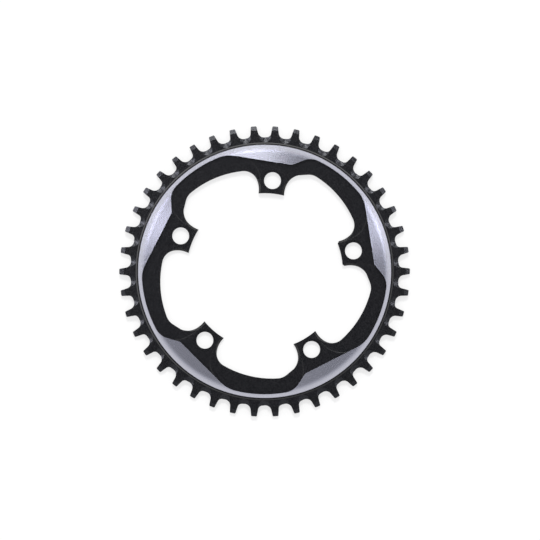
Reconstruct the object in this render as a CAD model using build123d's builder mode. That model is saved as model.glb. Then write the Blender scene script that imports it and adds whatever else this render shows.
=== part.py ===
from build123d import *
from math import asin, cos, degrees, hypot, pi, radians, sin, sqrt, tan
import os

# Bicycle chainring, outboard face up and back face on z = 0, ring axis on the Z axis, in millimetres.
# The first bolt tab lies on +Y. Outlines are drawn with x clockwise and y outward from a centre line,
# as seen from the outboard side, and are then turned to their places.

# Chain and teeth
tooth_count = 42
chain_pitch = 12.7
tip_height = 2.68
root_depth = 4.17
tip_corner = 0.35
tooth_lag = 0.73
wide_tooth = 3.9
narrow_tooth = 2.1
narrow_step_height = 0.8
narrow_step_run = 0.35
tip_bevel_length = 2.55
tip_bevel_angle = 14.0

# Gullet between two teeth, x from its centre line, y above the root circle: a floor between two flanks
gullet_load_corner = (-3.14, -0.30)
gullet_back_corner = (3.62, 0.41)
load_flank_slope = -76.0
back_flank_slope = 79.0
roller_seat_radius = 3.7
gullet_back_radius = 2.5

# Bevelled dish round each gullet, in the outboard face
dish_height = 0.43
dish_shift = 0.48
dish_radius = 3.35
dish_depth = 1.0

# Rim land, from the root circle inward, and the bevelled step from it down to the teeth
rim_land_inset = 3.7
rim_land_width = 0.65
rim_step_height = 0.5
rim_step_run = 0.6

# Turned band inside the rim land: a shallow cone, a break and a steeper shoulder as wide as the ring
band_width = 11.45
band_slope = 3.0
break_width = 2.0
break_slope = 8.0
shoulder_slope = 13.0
web_thickness = 3.1

# Pocket that leaves the turned band as a narrow ring and five crescents
ring_width = 2.4
crescent_notch_shift = 10.8
crescent_notch_inset = 11.1
crescent_long_slope = -4.06
crescent_short_slope = 26.0
crescent_notch_round = 2.5
crescent_tail_round = 18.0
crescent_nose_round = 11.0

# Bolt tabs
tab_count = 5
bolt_circle_radius = 55.0
bolt_hole_radius = 5.1
bolt_seat_radius = 6.35
bolt_seat_depth = 0.6
tab_thickness = 3.3
tab_end_inset = 7.8
tab_half_width = 7.7
tab_straight = 0.7
clipped_tab = 1
clipped_corner = 1.2

# Opening between two tabs, x from the centre line of the tab beside it, y above the bolt circle
near_neck = (9.1, -0.9)
near_foot = (15.3, 4.5)
web_shoulder = (20.8, 5.35)
web_start = (26.5, 4.4)
web_end = (-18.6, 4.1)
far_neck = (-9.6, 0.0)

# Bevel along both sides of each tab, x from the tab's side, y above the bolt circle
side_bevel_low = (-0.95, -8.7)
side_bevel_middle = (0.8, 0.1)
side_bevel_end = (7.8, 4.5)
side_bevel_depth = 1.6
side_bevel_angle = 45.0

# Raised face of each tab, x from its centre line, y above the bolt circle
pad_left_low = (-7.35, -2.0)
pad_left_middle = (-9.7, 6.0)
pad_left_end = (-18.0, 12.3)
pad_right_low = (7.6, -2.0)
pad_right_middle = (9.9, 6.3)
pad_right_end = (13.2, 11.3)
pad_edge_angle = 45.0

# How far cutting shapes run past the metal, and how near the same radius is
over = 2.0
same_radius = 0.01

# Direction of the first bolt tab, turned from +X
up_angle = 90.0

# Worked-out sizes
pitch_angle = 360 / tooth_count
tab_angle = 360 / tab_count
pitch_radius = chain_pitch / 2 / sin(pi / tooth_count)
tip_radius = pitch_radius + tip_height
root_radius = pitch_radius - root_depth
narrow_step_radius = root_radius + narrow_step_height
tip_bevel_radius = tip_radius - tip_bevel_length
clear_radius = tip_radius + over
tip_bevel_drop = (clear_radius - tip_bevel_radius) * tan(radians(tip_bevel_angle))
rim_land_radius = root_radius - rim_land_inset
rim_land_level = wide_tooth + rim_step_height
band_radius = rim_land_radius - rim_land_width
band_inner_radius = band_radius - band_width
ring_inner_radius = band_radius - ring_width
ring_inner_level = rim_land_level + ring_width * tan(radians(shoulder_slope))
break_inner_radius = ring_inner_radius - break_width
break_inner_level = ring_inner_level + break_width * tan(radians(break_slope))
body_thickness = break_inner_level + (break_inner_radius - band_inner_radius) * tan(radians(band_slope))
crescent_notch = (crescent_notch_shift, band_radius - crescent_notch_inset)
tab_end_radius = bolt_circle_radius - tab_end_inset
inside_tab_end = tab_end_radius - 2 * over
first_gullet_angle = tooth_lag - pitch_angle / 2
narrow_back = (wide_tooth - narrow_tooth) / 2
narrow_front = narrow_back + narrow_tooth


def clockwise(point, angle):
    """The point turned clockwise about the ring axis."""
    x, y = point
    turn = radians(angle)
    return (x * cos(turn) + y * sin(turn), y * cos(turn) - x * sin(turn))


def raised(point, radius):
    """A point given above a circle about the ring axis, from the ring axis itself."""
    return (point[0], radius + point[1])


def to_circle(point, slope, side, radius):
    """Where a sloping line from a point, to the right or left, meets a circle about the ring axis."""
    x, y = tuple(point)[:2]
    step_x = side * cos(radians(slope))
    step_y = side * sin(radians(slope))
    inward = x * step_x + y * step_y
    reach = sqrt(inward**2 + radius**2 - x**2 - y**2) - inward
    return (x + reach * step_x, y + reach * step_y)


def tooth_planes(first):
    """Radial planes through the middle of every second tooth, x outward and y up."""
    turns = [first_gullet_angle + (first + 2 * index + 0.5) * pitch_angle for index in range(tooth_count // 2)]
    outward = [clockwise((0, 1), -turn) for turn in turns]
    return [Plane((0, 0, 0), x_dir=(x, y, 0), z_dir=(y, -x, 0)) for x, y in outward]


def corners_at(shape, radius):
    """Corners of a flat shape that lie on a circle about the ring axis."""
    return shape.vertices().filter_by(lambda corner: abs(hypot(corner.X, corner.Y) - radius) < same_radius)


def corner_near(shape, point):
    """The corner of a flat shape that is nearest to a point."""
    return shape.vertices().sort_by_distance(point)[0]


# One gullet, open past the tips
with BuildSketch() as gullet:
    load_corner = raised(gullet_load_corner, root_radius)
    back_corner = raised(gullet_back_corner, root_radius)
    with BuildLine():
        load_top = to_circle(load_corner, load_flank_slope, -1, clear_radius)
        back_top = to_circle(back_corner, back_flank_slope, 1, clear_radius)
        Polyline(load_top, load_corner, back_corner, back_top, close=True)
    make_face()
    fillet(corner_near(gullet, load_corner), radius=roller_seat_radius)
    fillet(corner_near(gullet, back_corner), radius=gullet_back_radius)

# One opening between two tabs
with BuildSketch() as bay:
    with BuildLine():
        tab_straight_end = tab_end_radius + tab_straight
        near_side = Line((tab_half_width, inside_tab_end), (tab_half_width, tab_straight_end))
        near_flare = TangentArc(near_side @ 1, raised(near_neck, bolt_circle_radius), tangent=near_side % 1)
        near_curve = TangentArc(near_flare @ 1, raised(near_foot, bolt_circle_radius), tangent=near_flare % 1)
        shoulder = Line(near_curve @ 1, raised(web_shoulder, bolt_circle_radius))
        brow = TangentArc(shoulder @ 1, raised(web_start, bolt_circle_radius), tangent=shoulder % 1)
        far_web = clockwise(raised(web_end, bolt_circle_radius), tab_angle)
        web_edge = TangentArc(brow @ 1, far_web, tangent=brow % 1)
        far_neck_end = clockwise(raised(far_neck, bolt_circle_radius), tab_angle)
        far_curve = TangentArc(web_edge @ 1, far_neck_end, tangent=web_edge % 1)
        far_straight = clockwise((-tab_half_width, tab_straight_end), tab_angle)
        far_flare = TangentArc(far_curve @ 1, far_straight, tangent=far_curve % 1)
        far_side = Line(far_flare @ 1, clockwise((-tab_half_width, inside_tab_end), tab_angle))
        Line(far_side @ 1, near_side @ 0)
    make_face()

# One crescent's share of the band, open past the ring
crescent_tail = to_circle(crescent_notch, crescent_long_slope, -1, ring_inner_radius)
crescent_nose = to_circle(crescent_notch, crescent_short_slope, 1, ring_inner_radius)
with BuildSketch() as crescent:
    with BuildLine():
        tail_end = to_circle(crescent_notch, crescent_long_slope, -1, clear_radius)
        nose_end = to_circle(crescent_notch, crescent_short_slope, 1, clear_radius)
        Polyline(tail_end, crescent_notch, nose_end, (nose_end[0], clear_radius), (tail_end[0], clear_radius),
                 close=True)
    make_face()

# One tab's raised face, run on under the crescent and past the tab's end
with BuildSketch() as pad:
    with BuildLine():
        left_foot = raised(pad_left_low, bolt_circle_radius)
        left_end = raised(pad_left_end, bolt_circle_radius)
        right_foot = raised(pad_right_low, bolt_circle_radius)
        right_end = raised(pad_right_end, bolt_circle_radius)
        ThreePointArc(right_foot, raised(pad_right_middle, bolt_circle_radius), right_end)
        Line(right_end, left_end)
        ThreePointArc(left_end, raised(pad_left_middle, bolt_circle_radius), left_foot)
        Polyline(left_foot, (left_foot[0], inside_tab_end), (right_foot[0], inside_tab_end), right_foot)
    make_face()

# The bevel along a tab's clockwise side, open to the middle opening
with BuildSketch() as side_bevel:
    with BuildLine():
        bevel_points = [
            (tab_half_width + x, bolt_circle_radius + y)
            for x, y in (side_bevel_low, side_bevel_middle, side_bevel_end)
        ]
        ThreePointArc(*bevel_points)
        Polyline(
            bevel_points[2],
            (bevel_points[2][0] + 2 * over, bevel_points[2][1] - 2 * over),
            (tab_half_width + 3 * over, inside_tab_end),
            (bevel_points[0][0], inside_tab_end),
            bevel_points[0],
        )
    make_face()

with BuildPart() as chainring:
    # Toothed plate
    with BuildSketch() as plate:
        Circle(tip_radius)
        with PolarLocations(0, tooth_count, start_angle=first_gullet_angle):
            add(gullet.sketch, mode=Mode.SUBTRACT)
        chamfer(corners_at(plate, tip_radius), length=tip_corner)
    extrude(amount=body_thickness)

    # Turned band, rim land, and the step from it down to the teeth
    with BuildSketch(Plane.XZ):
        with BuildLine():
            Polyline(
                (band_inner_radius, body_thickness),
                (break_inner_radius, break_inner_level),
                (ring_inner_radius, ring_inner_level),
                (band_radius, rim_land_level),
                (rim_land_radius, rim_land_level),
                (rim_land_radius + rim_step_run, wide_tooth),
                (clear_radius, wide_tooth),
                (clear_radius, body_thickness + over),
                (band_inner_radius, body_thickness + over),
                close=True,
            )
        make_face()
    revolve(axis=Axis.Z, mode=Mode.SUBTRACT)

    # Flat bevels on the tips of the wide teeth, in both faces
    with BuildSketch(*tooth_planes(1)):
        with BuildLine():
            Polyline(
                (tip_bevel_radius, wide_tooth),
                (clear_radius, wide_tooth - tip_bevel_drop),
                (clear_radius, wide_tooth + over),
                close=True,
            )
        make_face()
        with BuildLine():
            Polyline((tip_bevel_radius, 0), (clear_radius, tip_bevel_drop), (clear_radius, -over), close=True)
        make_face()
    extrude(amount=chain_pitch / 2, both=True, mode=Mode.SUBTRACT)

    # The other teeth are narrow: both their faces are stepped in and bevelled
    with BuildSketch(*tooth_planes(0)):
        with BuildLine():
            Polyline(
                (narrow_step_radius, wide_tooth),
                (narrow_step_radius + narrow_step_run, narrow_front),
                (tip_bevel_radius, narrow_front),
                (clear_radius, narrow_front - tip_bevel_drop),
                (clear_radius, wide_tooth + over),
                (narrow_step_radius, wide_tooth + over),
                close=True,
            )
        make_face()
        with BuildLine():
            Polyline(
                (narrow_step_radius, 0),
                (narrow_step_radius + narrow_step_run, narrow_back),
                (tip_bevel_radius, narrow_back),
                (clear_radius, narrow_back + tip_bevel_drop),
                (clear_radius, -over),
                (narrow_step_radius, -over),
                close=True,
            )
        make_face()
    extrude(amount=chain_pitch / 2, both=True, mode=Mode.SUBTRACT)

    # Dishes round the gullets, in the outboard face
    dish_centre_radius = root_radius + dish_height
    dish_angle = first_gullet_angle + up_angle - degrees(asin(dish_shift / dish_centre_radius))
    with Locations(Plane.XY.offset(wide_tooth)):
        with PolarLocations(dish_centre_radius, tooth_count, start_angle=dish_angle):
            Cone(0, dish_radius, dish_depth, align=(Align.CENTER, Align.CENTER, Align.MAX), mode=Mode.SUBTRACT)

    # Pocket inside the band, down to the webs
    with BuildSketch(Plane.XY.offset(web_thickness)) as pocket:
        Circle(ring_inner_radius)
        with PolarLocations(0, tab_count):
            add(crescent.sketch, mode=Mode.SUBTRACT)
        fillet(corners_at(pocket, hypot(*crescent_notch)), radius=crescent_notch_round)
        for index in range(tab_count):
            tail_corner = corner_near(pocket, clockwise(crescent_tail, index * tab_angle))
            fillet(tail_corner, radius=crescent_tail_round)
            nose_corner = corner_near(pocket, clockwise(crescent_nose, index * tab_angle))
            fillet(nose_corner, radius=crescent_nose_round)
    extrude(amount=body_thickness, mode=Mode.SUBTRACT)

    # Raised tab faces
    with BuildSketch(Plane.XY.offset(web_thickness)):
        with PolarLocations(0, tab_count):
            add(pad.sketch)
    extrude(amount=tab_thickness - web_thickness, taper=pad_edge_angle)

    # Middle opening, which clips the inner corners of one tab
    with BuildSketch() as opening:
        Circle(tab_end_radius)
        with PolarLocations(0, tab_count):
            add(bay.sketch)
        tab_corners = corners_at(opening, tab_end_radius)
        clipped_place = clockwise((0, tab_end_radius), clipped_tab * tab_angle)
        chamfer(tab_corners.sort_by_distance(clipped_place)[:2], length=clipped_corner)
    extrude(amount=body_thickness, mode=Mode.SUBTRACT)

    # Bevels along the sides of the tabs
    with BuildSketch(Plane.XY.offset(tab_thickness)):
        with PolarLocations(0, tab_count):
            add(side_bevel.sketch)
            add(mirror(side_bevel.sketch, about=Plane.YZ, mode=Mode.PRIVATE))
    extrude(amount=-side_bevel_depth, taper=side_bevel_angle, mode=Mode.SUBTRACT)

    # Bolt holes with seats for the bolt heads
    with Locations(Plane.XY.offset(tab_thickness)):
        with PolarLocations(bolt_circle_radius, tab_count, start_angle=up_angle):
            CounterBoreHole(bolt_hole_radius, bolt_seat_radius, bolt_seat_depth, depth=body_thickness)

chainring.part.label = "chainring"

os.makedirs("parts", exist_ok=True)
export_step(chainring.part, "parts/chainring.step")
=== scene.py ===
import bpy
from math import cos, radians, sin, tan
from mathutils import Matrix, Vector


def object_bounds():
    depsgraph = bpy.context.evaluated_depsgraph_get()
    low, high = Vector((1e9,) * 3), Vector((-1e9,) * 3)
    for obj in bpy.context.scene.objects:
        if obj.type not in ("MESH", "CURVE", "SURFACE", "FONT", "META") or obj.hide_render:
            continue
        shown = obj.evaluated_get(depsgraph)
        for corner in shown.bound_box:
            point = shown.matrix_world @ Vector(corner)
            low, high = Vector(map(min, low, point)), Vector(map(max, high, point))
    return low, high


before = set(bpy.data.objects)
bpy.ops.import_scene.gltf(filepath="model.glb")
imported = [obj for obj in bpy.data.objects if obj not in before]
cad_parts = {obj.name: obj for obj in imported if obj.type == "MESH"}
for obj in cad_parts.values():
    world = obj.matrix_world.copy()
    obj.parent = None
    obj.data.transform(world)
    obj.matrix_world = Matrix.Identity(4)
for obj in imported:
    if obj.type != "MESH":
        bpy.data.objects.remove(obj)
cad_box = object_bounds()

# Sizes are in metres and angles in degrees. An azimuth runs clockwise from the photo's up, and a tilt
# is the angle from straight above. Scales of textures are per metre.

# Where the metal is bare: inside this radius, above this height and facing up at least this much
BARE_RADIUS = 0.07622
BARE_LOWEST = 0.0036
BARE_UPWARD = 0.7

# The bare metal's slope for the light, evened out from the band's to the shoulder's between two radii
BAND_SLOPE = 3.0
SHOULDER_SLOPE = 13.0
SLOPE_RADII = (0.07125, 0.07535)

# Bare metal: its gloss is drawn out across the turned lines, which are rings of two silvers
METAL_ROUGHNESS = 0.2236
METAL_STRETCH = 0.833
QUARTER_TURN = 0.25
LINE_SCALE = 4000.0
LINE_DETAIL = 3.0
SILVERS = ((0.3, (0.775, 0.77, 0.854)), (0.7, (0.805, 0.80, 0.886)))

# Black anodising: its gloss, a speckle of two blacks and a fine grain
BLACK_ROUGHNESS = 0.18
BLACK_INDEX = 1.7
BLACK_SHINE = 0.72
SPECKLE_SCALE = 1400.0
SPECKLE_DETAIL = 3.0
BLACKS = ((0.38, (0.0028, 0.0028, 0.0037)), (0.62, (0.0150, 0.0149, 0.0166)))
GRAIN_SCALE = 2500.0
GRAIN_DETAIL = 2.0
GRAIN_STRENGTH = 0.15
GRAIN_DEPTH = 0.0001

# Black faces that face up more than this are shaded as if they were more level, by this pull upwards
SHALLOW_UPWARD = 0.9
LEVEL_PULL = 2.2

# The photograph: its width, its scale, the ring's centre in it and the ring's turn
PHOTO_PIXELS = 540
METRES_PER_PIXEL = 0.00060233
RING_PIXEL = (264.12, 270.915)
RING_TURN = 4.96

# The camera: its lens and sensor in millimetres, and how far it sees
LENS = 200.0
SENSOR = 36.0
CAMERA_REACH = 100.0

# Soft light from all round: its colour at tilts from the horizon to straight above
SKY = (
    (90, (0.80, 0.80, 0.80)),
    (50, (0.73, 0.73, 0.73)),
    (35, (0.80, 0.80, 0.80)),
    (24, (0.65, 0.665, 0.70)),
    (12, (0.128, 0.135, 0.168)),
    (0, (0.0, 0.0, 0.0)),
)

# The low light is stronger on one side: its azimuth, the share, and the tilts over which it sets in
LEAN_AZIMUTH = -21
LEAN = 0.6
LEAN_TILTS = (40, 60)

# Soft boxes: name, azimuth, tilt, size, watts and colour of each, and how far away they stand
LAMPS = (
    ("lamp_top", -7.1, 13.8, 1.22, 21.8, (0.95, 0.97, 1.04)),
    ("lamp_right", 67.2, 16.3, 1.22, 20.2, (0.91, 0.93, 1.07)),
    ("lamp_left", 294.0, 13.9, 1.22, 18.8, (0.92, 0.93, 1.08)),
)
LAMP_DISTANCE = 12.0

# A soft box for the floor's shadow, which nothing mirrors
SHADOW_LAMP = ("shadow_lamp", 0.0, 40.0, 2.0, 640.0, (1.0, 0.99, 0.97))

# The floor: its size, how far below the ring it lies, its colour and its own glow
FLOOR_SIZE = 6.0
FLOOR_GAP = 0.00002
FLOOR_COLOUR = (0.35, 0.35, 0.35)
FLOOR_GLOW = 0.67


def node(tree, kind, inputs, **settings):
    """A new shader node. Its inputs are given as values or as sockets of other nodes."""
    made = tree.nodes.new(kind)
    for name, value in settings.items():
        setattr(made, name, value)
    for name, given in inputs.items():
        if isinstance(given, bpy.types.NodeSocket):
            tree.links.new(given, made.inputs[name])
        else:
            made.inputs[name].default_value = given
    return made


def number(tree, operation, *given):
    """The result of a math operation on one or two numbers."""
    return node(tree, "ShaderNodeMath", dict(enumerate(given)), operation=operation).outputs[0]


def vector(tree, operation, *given):
    """The result of a math operation on one or two vectors."""
    return node(tree, "ShaderNodeVectorMath", dict(enumerate(given)), operation=operation).outputs[0]


def shades(tree, share, stops):
    """A colour that runs through the stops, which are pairs of a share and a colour in rising order."""
    made = node(tree, "ShaderNodeValToRGB", {0: share})
    elements = made.color_ramp.elements
    ends = ((elements[0], stops[0]), (elements[1], stops[-1]))
    for element, (position, colour) in ends:
        element.position = position
        element.color = (*colour, 1)
    for position, colour in stops[1:-1]:
        elements.new(position).color = (*colour, 1)
    return made.outputs[0]


def either(tree, share, first, second):
    """One surface where the share is 0, and the other where it is 1."""
    return node(tree, "ShaderNodeMixShader", {0: share, 1: first, 2: second}).outputs[0]


def new_material(name):
    """A material without any nodes, and its tree."""
    material = bpy.data.materials.new(name)
    material.use_nodes = True
    material.node_tree.nodes.clear()
    return material, material.node_tree


def toward(azimuth):
    """The flat direction at an azimuth, in the ring's own frame."""
    turn = radians(RING_TURN - azimuth)
    return Vector((-sin(turn), cos(turn), 0))


def make_black(tree, geometry, upward):
    """Black anodising with a speckle and a grain, and with its shallow bevels shaded nearly level."""
    position = geometry.outputs["Position"]
    normal = geometry.outputs["Normal"]
    level = vector(tree, "NORMALIZE", vector(tree, "ADD", normal, (0, 0, LEVEL_PULL)))
    shallow = number(tree, "GREATER_THAN", upward, SHALLOW_UPWARD)
    eased = node(tree, "ShaderNodeMix", {"Factor": shallow, 4: normal, 5: level}, data_type="VECTOR")
    grain = node(tree, "ShaderNodeTexNoise", {
        "Vector": position,
        "Scale": GRAIN_SCALE,
        "Detail": GRAIN_DETAIL,
    })
    bump = node(tree, "ShaderNodeBump", {
        "Height": grain.outputs["Fac"],
        "Strength": GRAIN_STRENGTH,
        "Distance": GRAIN_DEPTH,
        "Normal": eased.outputs[1],
    })
    speckle = node(tree, "ShaderNodeTexNoise", {
        "Vector": position,
        "Scale": SPECKLE_SCALE,
        "Detail": SPECKLE_DETAIL,
    })
    return node(tree, "ShaderNodeBsdfPrincipled", {
        "Base Color": shades(tree, speckle.outputs["Fac"], BLACKS),
        "Roughness": BLACK_ROUGHNESS,
        "IOR": BLACK_INDEX,
        "Specular IOR Level": BLACK_SHINE,
        "Normal": bump.outputs["Normal"],
    }).outputs[0]


def make_metal(tree, place, radius):
    """Turned metal: rings of fine lines, and a slope that grows outwards without steps."""
    fall = node(tree, "ShaderNodeMapRange", {
        "Value": radius,
        "From Min": SLOPE_RADII[0],
        "From Max": SLOPE_RADII[1],
        "To Min": tan(radians(BAND_SLOPE)),
        "To Max": tan(radians(SHOULDER_SLOPE)),
    }, interpolation_type="SMOOTHSTEP")
    flat = node(tree, "ShaderNodeCombineXYZ", {"X": place["X"], "Y": place["Y"]})
    outward = vector(tree, "NORMALIZE", flat.outputs[0])
    leaning = node(tree, "ShaderNodeVectorMath", {
        0: outward,
        "Scale": fall.outputs["Result"],
    }, operation="SCALE")
    normal = vector(tree, "NORMALIZE", vector(tree, "ADD", leaning.outputs[0], (0, 0, 1)))
    lines = node(tree, "ShaderNodeTexNoise", {
        "W": radius,
        "Scale": LINE_SCALE,
        "Detail": LINE_DETAIL,
    }, noise_dimensions="1D")
    tangent = node(tree, "ShaderNodeTangent", {}, direction_type="RADIAL", axis="Z")
    return node(tree, "ShaderNodeBsdfPrincipled", {
        "Base Color": shades(tree, lines.outputs["Fac"], SILVERS),
        "Metallic": 1.0,
        "Roughness": METAL_ROUGHNESS,
        "Anisotropic": METAL_STRETCH,
        "Anisotropic Rotation": QUARTER_TURN,
        "Normal": normal,
        "Tangent": tangent.outputs[0],
    }).outputs[0]


def make_ring_material():
    """Black anodising, and bare turned metal on the band inside the rim land."""
    material, tree = new_material("anodised_and_turned")
    geometry = node(tree, "ShaderNodeNewGeometry", {})
    place = node(tree, "ShaderNodeSeparateXYZ", {0: geometry.outputs["Position"]}).outputs
    upward = node(tree, "ShaderNodeSeparateXYZ", {0: geometry.outputs["True Normal"]}).outputs["Z"]
    across = number(tree, "MULTIPLY", place["X"], place["X"])
    along = number(tree, "MULTIPLY", place["Y"], place["Y"])
    radius = number(tree, "SQRT", number(tree, "ADD", across, along))

    inside = number(tree, "LESS_THAN", radius, BARE_RADIUS)
    raised = number(tree, "GREATER_THAN", place["Z"], BARE_LOWEST)
    facing_up = number(tree, "GREATER_THAN", upward, BARE_UPWARD)
    bare = number(tree, "MULTIPLY", number(tree, "MULTIPLY", inside, raised), facing_up)
    surface = either(tree, bare, make_black(tree, geometry, upward), make_metal(tree, place, radius))
    node(tree, "ShaderNodeOutputMaterial", {"Surface": surface})
    return material


def make_floor():
    """A plain pale floor that shows white and keeps the ring's shadow, and is clear from below."""
    bpy.ops.mesh.primitive_plane_add(size=FLOOR_SIZE, location=(0, 0, cad_box[0][2] - FLOOR_GAP))
    floor = bpy.context.object
    floor.name = "floor"
    material, tree = new_material("pale_floor")
    path = node(tree, "ShaderNodeLightPath", {}).outputs
    seen = number(tree, "ADD", path["Is Camera Ray"], path["Is Glossy Ray"])
    seen = number(tree, "ADD", seen, path["Is Transmission Ray"])
    strength = number(tree, "MULTIPLY", number(tree, "MINIMUM", seen, 1.0), FLOOR_GLOW)
    glow = node(tree, "ShaderNodeEmission", {"Strength": strength})
    diffuse = node(tree, "ShaderNodeBsdfDiffuse", {"Color": (*FLOOR_COLOUR, 1)})
    pale = node(tree, "ShaderNodeAddShader", {0: diffuse.outputs[0], 1: glow.outputs[0]})
    clear = node(tree, "ShaderNodeBsdfTransparent", {})
    below = node(tree, "ShaderNodeNewGeometry", {}).outputs["Backfacing"]
    surface = either(tree, below, pale.outputs[0], clear.outputs[0])
    node(tree, "ShaderNodeOutputMaterial", {"Surface": surface})
    floor.data.materials.append(material)


def make_world():
    """Soft light from all round that fades to dark straight above, where the camera is."""
    world = bpy.data.worlds.new("studio")
    bpy.context.scene.world = world
    world.use_nodes = True
    tree = world.node_tree
    tree.nodes.clear()
    direction = node(tree, "ShaderNodeTexCoord", {}).outputs["Generated"]
    height = node(tree, "ShaderNodeSeparateXYZ", {0: direction}).outputs["Z"]
    sky = shades(tree, height, [(cos(radians(tilt)), colour) for tilt, colour in SKY])

    side = node(tree, "ShaderNodeVectorMath", {
        0: direction,
        1: toward(LEAN_AZIMUTH),
    }, operation="DOT_PRODUCT")
    rise = node(tree, "ShaderNodeMapRange", {
        "Value": height,
        "From Min": cos(radians(LEAN_TILTS[0])),
        "From Max": cos(radians(LEAN_TILTS[1])),
        "To Max": LEAN,
    })
    lean = number(tree, "MULTIPLY", side.outputs["Value"], rise.outputs["Result"])
    strength = number(tree, "ADD", lean, 1.0)
    background = node(tree, "ShaderNodeBackground", {"Color": sky, "Strength": strength})
    node(tree, "ShaderNodeOutputWorld", {"Surface": background.outputs[0]})


def make_lamp(name, azimuth, tilt, size, power, colour):
    """A square soft box that faces the ring."""
    data = bpy.data.lights.new(name, "AREA")
    data.shape = "SQUARE"
    data.size = size
    data.energy = power
    data.color = colour
    lamp = bpy.data.objects.new(name, data)
    bpy.context.scene.collection.objects.link(lamp)
    direction = toward(azimuth) * sin(radians(tilt)) + Vector((0, 0, cos(radians(tilt))))
    lamp.location = direction * LAMP_DISTANCE
    lamp.rotation_euler = (-direction).to_track_quat("-Z", "Y").to_euler()
    return lamp


def make_camera():
    """Straight above the ring, with the photograph's frame."""
    middle = (PHOTO_PIXELS - 1) / 2
    offset = toward(90) * (middle - RING_PIXEL[0]) + toward(0) * (RING_PIXEL[1] - middle)
    centre = offset * METRES_PER_PIXEL
    distance = METRES_PER_PIXEL * PHOTO_PIXELS * LENS / SENSOR
    data = bpy.data.cameras.new("camera")
    data.lens = LENS
    data.sensor_width = SENSOR
    data.clip_end = CAMERA_REACH
    camera = bpy.data.objects.new("camera", data)
    bpy.context.scene.collection.objects.link(camera)
    camera.location = centre + Vector((0, 0, cad_box[1][2] + distance))
    camera.rotation_euler = (0, 0, radians(RING_TURN))
    bpy.context.scene.camera = camera


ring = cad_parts["chainring"]
ring.data.materials.clear()
ring.data.materials.append(make_ring_material())
make_floor()
make_world()
make_camera()
for lamp_settings in LAMPS:
    make_lamp(*lamp_settings)
shadow_lamp = make_lamp(*SHADOW_LAMP)
shadow_lamp.visible_glossy = False
bpy.context.scene.view_settings.view_transform = "Standard"
